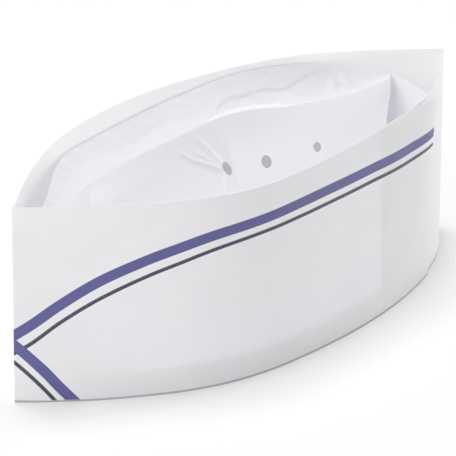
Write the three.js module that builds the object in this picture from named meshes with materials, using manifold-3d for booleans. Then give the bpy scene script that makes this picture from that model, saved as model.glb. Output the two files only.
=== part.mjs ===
// Paper soda jerk hat: a stiff paper cuff folded to a point at both ends, two crown sides
// with vent holes inside it, and a crumpled tissue top between them. Open below for the head.
// Millimetres. +X runs from the front fold to the back fold, -Y is the near side (the
// wearer's left) and +Z is up. The cuff stands on its rim at z = 0.
import * as THREE from 'three';
import { mergeVertices } from 'three/addons/utils/BufferGeometryUtils.js';
import Module from 'manifold-3d';

const wasm = await Module();
wasm.setup();

// Cuff
const cuffLength = 258; // front fold to back fold, along the top
const frontLean = 2; // the foot of the front fold stands this far ahead of its top
const nearBulge = 55.65; // centre line to the near side at its widest
const farBulge = 54.35; // centre line to the far side at its widest
const cuffHeight = 96;
const cuffPaper = 1; // wall of the cuff
const flapShownTop = 45; // back fold to the near side's cut end, along the top
const flapShownFoot = 39; // the same along the rim
const flapHidden = 45; // the flap runs on this far behind the near side
const flapSpring = 3.2; // the near side's loose top corner stands this far off the flap
const springReach = 30; // length over which it springs off

// Crown
const crownPaper = 1; // wall of the crown sides
const tissuePaper = 1; // wall of the tissue top
const layerGap = 0.3; // between papers that lie on each other
const crownFootLift = 1.5; // the crown sides end this far above the rim
const hemHeight = 14; // the near crown side lies on the cuff up to here
const hemFront = 18; // front fold to the front end of the near crown side's hem
const hemLength = 178; // the hem is shorter than the ridge, and its back edge slants
const hemRamp = 8; // length over which a layer steps over the flap's end
const ridgeHeight = 102.5; // highest point of the near crown side
const farTopHeight = 94.5; // highest point of the far crown side
const leanBow = 3; // the leaning near side bows outward by this much
const tissueTuck = 2; // the tissue starts this far below the crown sides' top edges
const tissueSag = 11; // the tissue hangs this far below a straight line

// Vents
const ventWidth = 6.5;
const ventPitch = 32;
const ventDrop = 23; // centre of a vent below the top edge, along the paper
const ventReach = 12; // length of the punch that cuts a vent
const ventSides = 20;
const nearVentMiddle = 0.57; // share of the near crown side's length at its middle vent
const farVentMiddle = 0.52; // share of the cuff length at the far crown side's middle vent

// Steps along and up each sheet
const nearSteps = 34;
const farSteps = 40;
const flapSteps = 14;
const cuffLevels = 4;
const bandSteps = 84;
const bandLevels = 4;
const crownSteps = 60;
const hemLevels = 2;
const leanLevels = 12;
const tissueSteps = 54;
const tissueLevels = 14;

// Plan of the cuff: along = share of its length from the front fold, the rest = shares of
// the near or far bulge.
const cuffPlan = [
  { along: 0.0, nearTop: 0.0, nearFoot: 0.0, far: 0.0 },
  { along: 0.04, nearTop: 0.188, nearFoot: 0.185, far: 0.182 },
  { along: 0.1, nearTop: 0.4, nearFoot: 0.4, far: 0.415 },
  { along: 0.17, nearTop: 0.622, nearFoot: 0.603, far: 0.637 },
  { along: 0.24, nearTop: 0.808, nearFoot: 0.773, far: 0.8 },
  { along: 0.31, nearTop: 0.94, nearFoot: 0.887, far: 0.901 },
  { along: 0.38, nearTop: 0.997, nearFoot: 0.945, far: 0.963 },
  { along: 0.46, nearTop: 0.988, nearFoot: 0.96, far: 0.997 },
  { along: 0.54, nearTop: 0.942, nearFoot: 0.945, far: 0.978 },
  { along: 0.63, nearTop: 0.872, nearFoot: 0.897, far: 0.922 },
  { along: 0.72, nearTop: 0.79, nearFoot: 0.812, far: 0.825 },
  { along: 0.8, nearTop: 0.675, nearFoot: 0.69, far: 0.674 },
  { along: 0.87, nearTop: 0.515, nearFoot: 0.53, far: 0.467 },
  { along: 0.94, nearTop: 0.25, nearFoot: 0.27, far: 0.225 },
  { along: 1.0, nearTop: 0.0, nearFoot: 0.0, far: 0.0 },
];

// Route of the far crown side. It starts on the near side at the front, crosses to the far
// side, lies along it, and turns across the hat at the back. side = 1 lies on the far face
// of the cuff, -1 on the near face; top = share of the far crown side's greatest height.
const farCrownRoute = [
  { along: 0.045, side: -0.98, top: 0.9 },
  { along: 0.055, side: -0.4, top: 0.92 },
  { along: 0.075, side: 0.2, top: 0.93 },
  { along: 0.115, side: 0.62, top: 0.935 },
  { along: 0.155, side: 0.85, top: 0.935 },
  { along: 0.19, side: 0.965, top: 0.935 },
  { along: 0.24, side: 1.0, top: 0.94 },
  { along: 0.34, side: 1.0, top: 0.95 },
  { along: 0.44, side: 1.0, top: 0.96 },
  { along: 0.55, side: 1.0, top: 0.982 },
  { along: 0.64, side: 1.0, top: 0.99 },
  { along: 0.74, side: 1.0, top: 0.982 },
  { along: 0.8, side: 0.99, top: 0.97 },
  { along: 0.835, side: 0.9, top: 0.957 },
  { along: 0.866, side: 0.6, top: 0.955 },
  { along: 0.879, side: 0.2, top: 0.957 },
  { along: 0.881, side: -0.25, top: 0.96 },
  { along: 0.877, side: -0.65, top: 0.955 },
  { along: 0.868, side: -0.93, top: 0.95 },
  { along: 0.85, side: -1.0, top: 0.95 },
  { along: 0.81, side: -1.0, top: 0.95 },
  { along: 0.778, side: -1.0, top: 0.95 },
];

// Top edge of the near crown side, which leans in to the middle: lean = share of the near
// bulge, to the far side; top = share of the ridge height.
const ridge = [
  { along: 0.085, lean: 0.04, top: 0.85 },
  { along: 0.15, lean: 0.02, top: 0.895 },
  { along: 0.23, lean: 0.0, top: 0.945 },
  { along: 0.35, lean: 0.0, top: 0.98 },
  { along: 0.45, lean: 0.0, top: 1.0 },
  { along: 0.53, lean: 0.0, top: 0.98 },
  { along: 0.6, lean: 0.0, top: 0.938 },
  { along: 0.68, lean: 0.0, top: 0.907 },
  { along: 0.76, lean: 0.0, top: 0.881 },
  { along: 0.865, lean: 0.012, top: 0.88 },
];

// Creases pressed into the near crown side: along = share of its own length, up = share of
// the leaning height, width and out = shares of the ridge height, height = share of the
// leaning height, out = towards the near side.
const crownCreases = [
  { along: 0.45, up: 0.76, width: 0.05, height: 0.13, out: -0.04 },
  { along: 0.43, up: 0.52, width: 0.05, height: 0.2, out: 0.022 },
  { along: 0.5, up: 0.52, width: 0.05, height: 0.2, out: 0.018 },
  { along: 0.3, up: 0.7, width: 0.16, height: 0.22, out: -0.03 },
];

// Crumples in the tissue: across = share from the near crown side to the far one, width =
// share of the cuff length, spread = share across, rise = share of the sag.
const tissueCrumples = [
  { along: 0.12, across: 0.5, width: 0.05, spread: 0.4, rise: 1.2 },
  { along: 0.19, across: 0.45, width: 0.02, spread: 0.5, rise: -0.25 },
  { along: 0.27, across: 0.2, width: 0.03, spread: 0.2, rise: -0.3 },
  { along: 0.4, across: 0.55, width: 0.08, spread: 0.3, rise: 0.6 },
  { along: 0.52, across: 0.25, width: 0.04, spread: 0.16, rise: -0.5 },
  { along: 0.6, across: 0.65, width: 0.06, spread: 0.16, rise: 0.6 },
  { along: 0.65, across: 0.25, width: 0.05, spread: 0.18, rise: -0.5 },
  { along: 0.76, across: 0.5, width: 0.03, spread: 0.25, rise: 1.0 },
  { along: 0.8, across: 0.2, width: 0.03, spread: 0.2, rise: -0.3 },
];

// Vents of the near crown side: place = which one, counted from the middle one; shift =
// share of the pitch, drop = share of the vent drop, both by the creases in the paper.
const nearVentRows = [
  { place: -1, shift: 0.28, drop: 0.96 },
  { place: 0, shift: -0.06, drop: 1.08 },
  { place: 1, shift: 0.03, drop: 0.9 },
];

const lerp = THREE.MathUtils.lerp;
const smoothstep = THREE.MathUtils.smoothstep;
const backX = (cuffLength + frontLean) / 2;
const midY = (nearBulge - farBulge) / 2;

// A smooth curve through one column of a table, read by its "along" column.
function column(rows, name) {
  const places = rows.map((row) => row.along);
  const values = rows.map((row) => row[name]);
  const curve = new THREE.CubicInterpolant(places, values, 1);
  return (along) => curve.evaluate(along)[0];
}

const nearTopShare = column(cuffPlan, 'nearTop');
const nearFootShare = column(cuffPlan, 'nearFoot');
const farShare = column(cuffPlan, 'far');
const ridgeLean = column(ridge, 'lean');
const ridgeTop = column(ridge, 'top');

// A point on the cuff's outer face, in plan; up = 0 at the rim and 1 at the top.
function cuffPoint(side, along, up) {
  const frontX = -backX + frontLean * up;
  const near = -nearBulge * lerp(nearFootShare(along), nearTopShare(along), up);
  const far = farBulge * farShare(along);
  return new THREE.Vector2(lerp(frontX, backX, along), midY + (side === 'near' ? near : far));
}

// The same point moved inward, square to the face.
function insideCuff(side, along, up, depth) {
  const step = 0.002;
  const run = cuffPoint(side, along + step, up).sub(cuffPoint(side, along - step, up)).normalize();
  const turn = side === 'near' ? 1 : -1;
  const inward = new THREE.Vector2(-run.y, run.x).multiplyScalar(turn);
  return cuffPoint(side, along, up).addScaledVector(inward, depth);
}

// Share of the length where the near side's cut end stands, and where the flap starts.
function cutEnd(up) {
  return 1 - lerp(flapShownFoot, flapShownTop, up) / cuffLength;
}

function flapStart(up) {
  return cutEnd(up) - flapHidden / cuffLength;
}

// Depth of the flap's outer face below the near side's line: behind the near side it lies
// one wall deep, and it comes out to the line at the back fold.
function flapDepth(along, up) {
  const covered = 1 - smoothstep(along, cutEnd(up), 1);
  return (cuffPaper + layerGap) * covered;
}

// Depth of the innermost face of the cuff on the near side, whose flap starts on a ramp.
function nearDepth(along, up) {
  const start = flapStart(up);
  const onFlap = smoothstep(along, start - hemRamp / cuffLength, start - layerGap / cuffLength);
  return cuffPaper + onFlap * flapDepth(along, up);
}

function rightOf(from, to) {
  return new THREE.Vector2(to.y - from.y, from.x - to.x).normalize();
}

// A line moved to its right by a distance, with its corners mitred.
function inset(points, distance) {
  const last = points.length - 1;
  return points.map((point, i) => {
    const before = i > 0 ? rightOf(points[i - 1], point) : rightOf(point, points[1]);
    const after = i < last ? rightOf(point, points[i + 1]) : before;
    const mitre = before.clone().add(after).normalize();
    return point.clone().addScaledVector(mitre, distance / mitre.dot(before));
  });
}

function raise(points, heightAt) {
  return points.map((point, i) => new THREE.Vector3(point.x, point.y, heightAt(i)));
}

function closedMesh(positions, triangles) {
  const geometry = new THREE.BufferGeometry();
  geometry.setAttribute('position', new THREE.Float32BufferAttribute(positions, 3));
  geometry.setIndex(triangles);
  return geometry;
}

// Six times the volume that a closed mesh holds, negative where its faces point inward.
function signedVolume(positions, triangles) {
  const corner = (i) => new THREE.Vector3().fromArray(positions, 3 * triangles[i]);
  let total = 0;
  for (let i = 0; i < triangles.length; i += 3) {
    total += corner(i).dot(corner(i + 1).cross(corner(i + 2)));
  }
  return total;
}

// A closed sheet between two grids of points of the same size.
function sheet(front, back) {
  const rows = front.length;
  const columns = front[0].length;
  const positions = [...front.flat(), ...back.flat()].flatMap((point) => point.toArray());
  const triangles = [];
  const at = (face, i, j) => face * rows * columns + i * columns + j;
  const quad = (a, b, c, d) => triangles.push(a, b, c, a, c, d);
  for (let i = 0; i < rows - 1; i += 1) {
    for (let j = 0; j < columns - 1; j += 1) {
      quad(at(0, i, j), at(0, i, j + 1), at(0, i + 1, j + 1), at(0, i + 1, j));
      quad(at(1, i, j), at(1, i + 1, j), at(1, i + 1, j + 1), at(1, i, j + 1));
    }
  }
  for (let i = 0; i < rows - 1; i += 1) {
    const end = columns - 1;
    quad(at(0, i, 0), at(0, i + 1, 0), at(1, i + 1, 0), at(1, i, 0));
    quad(at(0, i, end), at(1, i, end), at(1, i + 1, end), at(0, i + 1, end));
  }
  for (let j = 0; j < columns - 1; j += 1) {
    const end = rows - 1;
    quad(at(0, 0, j), at(1, 0, j), at(1, 0, j + 1), at(0, 0, j + 1));
    quad(at(0, end, j), at(0, end, j + 1), at(1, end, j + 1), at(1, end, j));
  }
  if (signedVolume(positions, triangles) < 0) {
    triangles.reverse();
  }
  return closedMesh(positions, triangles);
}

// Unit normals of a grid of points, all to the same side of it.
function normals(grid) {
  const rows = grid.length;
  const columns = grid[0].length;
  return grid.map((row, i) => row.map((_, j) => {
    const down = grid[Math.max(i - 1, 0)][j];
    const up = grid[Math.min(i + 1, rows - 1)][j];
    const left = row[Math.max(j - 1, 0)];
    const right = row[Math.min(j + 1, columns - 1)];
    const rise = up.clone().sub(down);
    const run = right.clone().sub(left);
    return run.cross(rise).normalize();
  }));
}

function thicken(grid, thickness) {
  const out = normals(grid);
  return grid.map((row, i) => row.map((point, j) => point.clone().addScaledVector(out[i][j], -thickness)));
}

// The cuff's outer line at one level: the near side from its cut end to the front fold, the
// far side to the back fold, and the flap back behind the near side.
function cuffLine(up) {
  const points = [];
  const end = cutEnd(up);
  for (let i = 0; i < nearSteps; i += 1) {
    const along = lerp(end, 0, i / nearSteps);
    const spring = smoothstep(along, end - springReach / cuffLength, end) * flapSpring * up * up;
    points.push(insideCuff('near', along, up, -spring));
  }
  for (let i = 0; i < farSteps; i += 1) {
    points.push(cuffPoint('far', i / farSteps, up));
  }
  points.push(cuffPoint('near', 1, up));
  for (let i = 1; i <= flapSteps; i += 1) {
    const along = lerp(1, flapStart(up), i / flapSteps);
    points.push(insideCuff('near', along, up, flapDepth(along, up)));
  }
  return points;
}

function cuffSheet() {
  const outer = [];
  const inner = [];
  for (let level = 0; level <= cuffLevels; level += 1) {
    const up = level / cuffLevels;
    const line = cuffLine(up);
    outer.push(raise(line, () => cuffHeight * up));
    inner.push(raise(inset(line, cuffPaper), () => cuffHeight * up));
  }
  return sheet(outer, inner);
}

// The far crown side's route at one level, as points with the height of its top edge.
function farCrownLine(up) {
  const rows = farCrownRoute.map((row) => new THREE.Vector3(row.along, row.side, row.top));
  const route = new THREE.CatmullRomCurve3(rows, false, 'centripetal');
  return route.getPoints(bandSteps).map(({ x: along, y: side, z: top }) => {
    const face = side < 0 ? 'near' : 'far';
    const wall = side < 0 ? nearDepth(along, up) : cuffPaper;
    const point = insideCuff(face, along, up, wall + layerGap);
    const across = Math.min(Math.abs(side), 1);
    return new THREE.Vector3(point.x, lerp(midY, point.y, across), top * farTopHeight);
  });
}

function farCrownSheet() {
  const outer = [];
  const inner = [];
  for (let level = 0; level <= bandLevels; level += 1) {
    const up = level / bandLevels;
    const route = farCrownLine(up);
    const heightAt = (i) => lerp(crownFootLift, route[i].z, up);
    const line = route.map((point) => new THREE.Vector2(point.x, point.y));
    outer.push(raise(line, heightAt));
    inner.push(raise(inset(line, crownPaper), heightAt));
  }
  return sheet(outer, inner);
}

function ridgePoint(along) {
  const plan = cuffPoint('near', along, 1);
  return new THREE.Vector3(plan.x, midY + ridgeLean(along) * nearBulge, ridgeTop(along) * ridgeHeight);
}

// Points on the near crown side's ridge and hem at a share of its own length.
function ridgeAt(place) {
  return ridgePoint(lerp(ridge[0].along, ridge[ridge.length - 1].along, place));
}

function hemAt(place, height) {
  const along = (hemFront + hemLength * place) / cuffLength;
  const up = height / cuffHeight;
  const plan = insideCuff('near', along, up, nearDepth(along, up) + layerGap);
  return new THREE.Vector3(plan.x, plan.y, height);
}

// A round bump of height 1 that fades to nothing.
function bump(x, y) {
  return Math.exp(-(x * x + y * y));
}

function creaseOut(place, up) {
  let out = 0;
  for (const crease of crownCreases) {
    const x = ((place - crease.along) * cuffLength) / (crease.width * ridgeHeight);
    const y = (up - crease.up) / crease.height;
    out += crease.out * ridgeHeight * bump(x, y);
  }
  return out;
}

// A point on the leaning part of the near crown side: up = 0 at the hem, 1 at the ridge.
function leanPoint(place, up) {
  const low = hemAt(place, hemHeight);
  const high = ridgeAt(place);
  const point = low.clone().lerp(high, up);
  const rise = high.clone().sub(low).normalize();
  const out = new THREE.Vector3(0, -rise.z, rise.y);
  const free = Math.sin(Math.PI * up);
  return point.addScaledVector(out, free * (leanBow + creaseOut(place, up)));
}

function nearCrownSheet() {
  const places = Array.from({ length: crownSteps + 1 }, (_, i) => i / crownSteps);
  const grid = [];
  for (let level = 0; level < hemLevels; level += 1) {
    const height = lerp(crownFootLift, hemHeight, level / hemLevels);
    grid.push(places.map((place) => hemAt(place, height)));
  }
  for (let level = 0; level <= leanLevels; level += 1) {
    grid.push(places.map((place) => leanPoint(place, level / leanLevels)));
  }
  return sheet(grid, thicken(grid, crownPaper));
}

// The tissue's two held edges at one share of the way from the front end to the back end.
function tissueEdges(inner, place) {
  const spot = place * (inner.length - 1);
  const k = Math.min(Math.floor(spot), inner.length - 2);
  const far = inner[k].clone().lerp(inner[k + 1], spot - k);
  const front = inner[0].x;
  const back = inner[inner.length - 1].x;
  const near = ridgeAt((far.x - front) / (back - front));
  near.y += crownPaper + layerGap;
  near.z -= tissueTuck;
  far.z -= tissueTuck;
  return { near, far };
}

function crumple(along, across) {
  let rise = 0;
  for (const fold of tissueCrumples) {
    rise += fold.rise * bump((along - fold.along) / fold.width, (across - fold.across) / fold.spread);
  }
  return rise;
}

function tissueSheet() {
  const route = farCrownLine(1);
  const plan = inset(route.map((point) => new THREE.Vector2(point.x, point.y)), crownPaper + layerGap);
  const line = raise(plan, (i) => route[i].z);
  const ridgeSide = ridgeAt(0).y + crownPaper + layerGap;
  const inner = line.filter((point) => point.y > ridgeSide + tissuePaper);
  const grid = [];
  for (let i = 0; i <= tissueSteps; i += 1) {
    const { near, far } = tissueEdges(inner, i / tissueSteps);
    const along = (near.x + backX - frontLean) / cuffLength;
    const width = far.y - near.y;
    const fullness = Math.min(width / (farBulge / 2), 1);
    grid.push([]);
    for (let j = 0; j <= tissueLevels; j += 1) {
      const across = j / tissueLevels;
      const point = near.clone().lerp(far, across);
      const free = Math.sin(Math.PI * across) * fullness;
      point.z += free * tissueSag * (crumple(along, across) - 1);
      grid.at(-1).push(point);
    }
  }
  const under = grid.map((row) => row.map((point) => new THREE.Vector3(point.x, point.y, point.z - tissuePaper)));
  return sheet(grid, under);
}

// Boolean cuts
function solid(geometry) {
  const bare = new THREE.BufferGeometry();
  bare.setAttribute('position', geometry.getAttribute('position'));
  bare.setIndex(geometry.getIndex());
  const merged = mergeVertices(bare);
  const vertProperties = new Float32Array(merged.getAttribute('position').array);
  const triVerts = new Uint32Array(merged.getIndex().array);
  return new wasm.Manifold(new wasm.Mesh({ numProp: 3, vertProperties, triVerts }));
}

function fromSolid(manifold) {
  const mesh = manifold.getMesh();
  return closedMesh(Array.from(mesh.vertProperties), Array.from(mesh.triVerts));
}

// A round punch through a sheet at a point, along a direction.
function punch(centre, direction) {
  const cylinder = new THREE.CylinderGeometry(ventWidth / 2, ventWidth / 2, ventReach, ventSides);
  const turn = new THREE.Quaternion().setFromUnitVectors(new THREE.Vector3(0, 1, 0), direction);
  cylinder.applyQuaternion(turn);
  cylinder.translate(centre.x, centre.y, centre.z);
  return solid(cylinder);
}

function punched(geometry, punches) {
  let body = solid(geometry);
  for (const tool of punches) {
    body = body.subtract(tool);
  }
  return fromSolid(body);
}

function nearVents() {
  const ridgeLength = ridgeAt(0).distanceTo(ridgeAt(1));
  return nearVentRows.map((row) => {
    const place = nearVentMiddle + ((row.place + row.shift) * ventPitch) / ridgeLength;
    const length = ridgeAt(place).distanceTo(hemAt(place, hemHeight));
    const up = 1 - (ventDrop * row.drop) / length;
    const step = 0.01;
    const centre = leanPoint(place, up);
    const run = leanPoint(place + step, up).sub(leanPoint(place - step, up));
    const rise = leanPoint(place, up + step).sub(leanPoint(place, up - step));
    return punch(centre, run.cross(rise).normalize());
  });
}

function farVents() {
  return nearVentRows.map((row) => {
    const along = farVentMiddle + (row.place * ventPitch) / cuffLength;
    const plan = insideCuff('far', along, 1, cuffPaper + layerGap + crownPaper / 2);
    const across = cuffPoint('far', along, 1).sub(plan).normalize();
    const centre = new THREE.Vector3(plan.x, plan.y, farTopHeight - ventDrop);
    return punch(centre, new THREE.Vector3(across.x, across.y, 0));
  });
}

// Finishes
const cuffFinish = new THREE.MeshStandardMaterial({ color: 0xf4f4f8, roughness: 0.6, metalness: 0 });
const crownFinish = new THREE.MeshStandardMaterial({ color: 0xf0f0f5, roughness: 0.75, metalness: 0 });
const tissueFinish = new THREE.MeshStandardMaterial({ color: 0xf2f2f6, roughness: 0.85, metalness: 0 });

function piece(name, geometry, finish) {
  geometry.computeVertexNormals();
  const mesh = new THREE.Mesh(geometry, finish);
  mesh.name = name;
  return mesh;
}

const hat = new THREE.Group();
hat.add(piece('cuff', cuffSheet(), cuffFinish));
hat.add(piece('crown_far_side', punched(farCrownSheet(), farVents()), crownFinish));
hat.add(piece('crown_near_side', punched(nearCrownSheet(), nearVents()), crownFinish));
hat.add(piece('crown_tissue_top', tissueSheet(), tissueFinish));

export default hat;
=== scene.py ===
import math

import bmesh
import bpy
import numpy as np
from mathutils import Matrix, Vector, noise


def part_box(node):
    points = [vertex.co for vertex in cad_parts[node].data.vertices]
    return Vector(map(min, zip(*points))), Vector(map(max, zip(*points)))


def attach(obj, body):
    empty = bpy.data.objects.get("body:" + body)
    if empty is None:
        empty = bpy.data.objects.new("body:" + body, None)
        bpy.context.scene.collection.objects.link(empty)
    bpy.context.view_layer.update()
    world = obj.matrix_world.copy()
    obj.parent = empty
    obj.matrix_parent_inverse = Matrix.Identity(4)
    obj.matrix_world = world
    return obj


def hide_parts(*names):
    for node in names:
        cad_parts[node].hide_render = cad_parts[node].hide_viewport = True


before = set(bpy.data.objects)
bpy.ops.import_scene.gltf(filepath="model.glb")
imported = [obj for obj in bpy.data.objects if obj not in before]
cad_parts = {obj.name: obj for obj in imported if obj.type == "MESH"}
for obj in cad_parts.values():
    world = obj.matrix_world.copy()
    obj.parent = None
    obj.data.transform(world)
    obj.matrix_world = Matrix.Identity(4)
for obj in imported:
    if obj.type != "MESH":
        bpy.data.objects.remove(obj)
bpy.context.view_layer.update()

MM = 0.001

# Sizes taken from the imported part
CUFF_LOW, CUFF_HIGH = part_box("cuff")
RIDGE_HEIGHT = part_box("crown_near_side")[1][2]
CUFF_HEIGHT = CUFF_HIGH[2] - CUFF_LOW[2]
BACK_X = (CUFF_HIGH[0] - CUFF_LOW[0]) / 2

# Cuff: its front fold leans back and is drawn forward, over a share of its length that is
# larger on the near side. Its paper waves softly, less on the far side than on the near one.
FRONT_LEAN = 2 * MM
FRONT_REACH = 1.8 * MM
NEAR_REACH_FADE = 0.06
FAR_REACH_FADE = 0.01
NEAR_BULGE = 55.65 * MM
FAR_BULGE = 54.35 * MM
CUFF_PAPER = 0.45 * MM
FLAP_SHOWN_TOP = 41 * MM
FLAP_SHOWN_FOOT = 38 * MM
FLAP_HIDDEN = 45 * MM
FLAP_SPRING = 3.2 * MM
SPRING_REACH = 22 * MM
FOLD_REACH = 0.6 * MM
CUFF_WAVE = 0.3 * MM
CUFF_WAVE_LENGTH = 45 * MM
CUFF_WAVE_SEED = 3
FAR_WAVE_SHARE = 0.2
FOLD_CALM = 12 * MM
RIM_WAVE = 0.15 * MM
RIM_WAVE_LENGTH = 60 * MM
RIM_WAVE_SEED = 11
RIM_WAVE_REACH = 30 * MM
NEAR_WAVE_FADE = (-2 * MM, 5 * MM)

# Crown sides. Each pair of numbers is where something starts and ends: ROLL_FADE in shares of
# the near side's length, ROLL_RISE, ROLL_FALL and RELIEF_RISE in shares of its leaning height,
# and CREASE_START and CREASE_END in shares of a crease's length.
FAR_TOP_HEIGHT = 94.5 * MM
CROWN_PAPER = 0.3 * MM
LAYER_GAP = 0.25 * MM
FAR_GAP = 0.08 * MM
CROWN_FOOT_LIFT = 1.5 * MM
HEM_HEIGHT = 14 * MM
HEM_FRONT = 18 * MM
HEM_LENGTH = 178 * MM
HEM_RAMP = 8 * MM
LEAN_BOW = 3 * MM
LEAN_ROLL = 3 * MM
ROLL_FADE = (0.1, 0.4)
ROLL_RISE = (0.3, 0.86)
ROLL_FALL = (0.86, 1.04)
RELIEF_RISE = (0.1, 0.4)
CREASE_START = (-0.15, 0.25)
CREASE_END = (0.75, 1.15)
CREASE_SHARPNESS = 1.5
BACK_CUT = 0.965
BACK_CUT_DROP = 0.25
LIP_TURN = math.radians(42)
LIP_STEPS = 5
LIP_RADIUS = 0.4 * MM
LIP_LEAST = 0.1 * MM

# Tissue: the pairs of numbers below are shares of its width, from 0 at the ridge to 1 at the far crown side.
TISSUE_PAPER = 0.12 * MM
TISSUE_TUCK = 0.2 * MM
TISSUE_START = 1.5 * MM
SAG_SKEW = 1.2
HELD_NEAR = (0, 0.2)
HELD_FAR = (0.9, 1)
HOLLOW_DEPTH = 1.3 * MM
HOLLOW_WALL = 1.7 * MM
HOLLOW_RISE = (0, 0.1)
CRUMPLE = 0.5 * MM
CRUMPLE_LENGTH = 11 * MM
CRUMPLE_SEED = 8
CRUMPLE_MEAN = 0.3
FINE_CRUMPLE_SHARE = 0.4
FINE_CRUMPLE_LENGTH = 5 * MM
FINE_CRUMPLE_SEED = 5
GATHER = 0.8 * MM
GATHER_LENGTH = 5 * MM
GATHER_SEED = 2
SEAM_RISE = (0.7, 0.94)
SEAM_FALL = (0.96, 1)

# Vents: pitch along each crown side, drop below its top edge, and reach of the cutting tool
VENT_PITCH = 32 * MM
VENT_DROP = 23 * MM
VENT_REACH = 12 * MM
VENT_SIDES = 40
NEAR_VENT_MIDDLE = 0.57
FAR_VENT_MIDDLE = 0.52

# Printed stripes, with the crossing of the two bands just past the front fold
WIDE_STRIPE = 5.1 * MM
THIN_STRIPE = 1.95 * MM
CROSSING = 2.7 * MM
STRIPE_EDGE = 0.15 * MM
# On the flap the ink is weakened and fades out past the back fold: painted sheen, standing for the grazing
# light that washes the stripes out there
FLAP_INK_UNDER_PAINTED_SHEEN = 0.8
FLAP_SHEEN_FADE_START = 6 * MM
FLAP_SHEEN_FADE_END = 16 * MM

# Edges sharper than these angles, in degrees, stay sharp in the shading
PAPER_SHARP = 50
TISSUE_SHARP = 60

# Camera: it looks along the heading, which turns from +Y towards +X, and down by the pitch
CAMERA_PLACE = (-0.8317, -0.95525, 0.6885)
CAMERA_HEADING = math.radians(40.8)
CAMERA_PITCH = math.radians(27)
CAMERA_LENS = 243.3
CAMERA_SENSOR = 36

# Sizes that follow. The dents and creases of the near crown side take NEAR_SLANT as its
# leaning height.
CUFF_LENGTH = 2 * BACK_X - FRONT_LEAN
MID_Y = (NEAR_BULGE - FAR_BULGE) / 2
NEAR_SLANT = CUFF_HEIGHT

# Steps along and up each sheet
NEAR_STEPS = 130
FAR_STEPS = 150
FLAP_STEPS = 45
FOLD_STEPS = 6
CUFF_LEVELS = 48
BAND_STEPS = 240
BAND_LEVELS = 40
CROWN_STEPS = 300
HEM_LEVELS = 8
LEAN_LEVELS = 130
TISSUE_STEPS = 320
TISSUE_LEVELS = 120

# Steps over which a direction is measured: as a share of the cuff's length, as a share of the
# leaning part, and on the stripes. SMALLEST is the least length that a vector is divided by.
PLAN_STEP = 0.002
LEAN_STEP = 0.01
STRIPE_STEP = 0.5 * MM
SMALLEST = 1e-12

# Stage: the white floor glows faintly, and the world gives no light of its own
FLOOR_SIZE = 6
FLOOR_WHITE = (0.85, 0.85, 0.85)
FLOOR_GLOW = 0.12
WORLD_GLOW = 0
GAMMA = 1.6
MAX_BOUNCES = 28
DIFFUSE_BOUNCES = 24

# Soft lights: power in watts
LIGHTS = [
    dict(name="left light", place=(-1.6, -0.6, 1.0), size=1.0, power=9),
    dict(name="left back light", place=(-1.7, 0.3, 0.8), size=0.8, power=9.7),
    dict(name="right light", place=(1.7, -0.3, 0.5), size=0.6, power=13.2),
    dict(name="right back light", place=(1.6, 0.5, 0.8), size=0.8, power=3.3),
    dict(name="top light", place=(0.0, 0.2, 2.0), size=0.8, power=25),
    dict(name="back light", place=(0.0, 1.6, 1.2), size=1.2, power=7.8),
]

# Papers: whites = the two ends of a faint cloudy tint, glow = how much light goes through,
# glow_depth = how far, fibres = scale of the fibres, fibre_depth = their height.
CUFF_WHITES = ((0.85, 0.845, 0.88), (0.875, 0.87, 0.90))
# The plain inner face is whiter than the printed face of the same paper: the paper's own white, raised as
# painted light that brightens the inner faces and pockets lying in shade
INNER_WHITES_WITH_PAINTED_LIGHT = ((0.89, 0.885, 0.92), (0.91, 0.905, 0.935))
CROWN_WHITES = ((0.93, 0.92, 0.955), (0.95, 0.94, 0.97))
TISSUE_WHITES = ((0.9, 0.89, 0.925), (0.93, 0.92, 0.955))
CUFF_SURFACE = dict(roughness=0.5, fibres=1800, fibre_depth=0.05 * MM)
PAPERS = dict(
    printed=dict(
        name="cuff paper printed", whites=CUFF_WHITES, glow=0.6, glow_depth=0.8 * MM, **CUFF_SURFACE,
    ),
    inner=dict(
        name="cuff paper plain", whites=INNER_WHITES_WITH_PAINTED_LIGHT, glow=1, glow_depth=3 * MM, **CUFF_SURFACE,
    ),
    crown=dict(
        name="crown paper", whites=CROWN_WHITES, glow=0.6, glow_depth=1.2 * MM,
        roughness=0.6, fibres=2200, fibre_depth=0.04 * MM,
    ),
    tissue=dict(
        name="tissue", whites=TISSUE_WHITES, glow=0.8, glow_depth=2 * MM,
        roughness=0.7, fibres=2600, fibre_depth=0.03 * MM,
    ),
)
PAPER_GLOSS = 0.3
FIBRE_DETAIL = 6
FIBRE_STRENGTH = 0.35
CLOUD_SCALE = 60
CLOUD_DETAIL = 4
CLOUD_SPREAD = (0.35, 0.65)

# Inks, and the grey of the painted shade along the cuff's rim, which stands for the contact shadow at the
# floor, with the heights where it starts to fade and is gone
WIDE_BLUE = (0.034, 0.034, 0.2)
THIN_BLUE = (0.006, 0.004, 0.03)
RIM_PAINTED_SHADE = (0.33, 0.33, 0.37)
RIM_PAINTED_SHADE_FULL = 0.8 * MM
RIM_PAINTED_SHADE_END = 1.7 * MM

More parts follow.
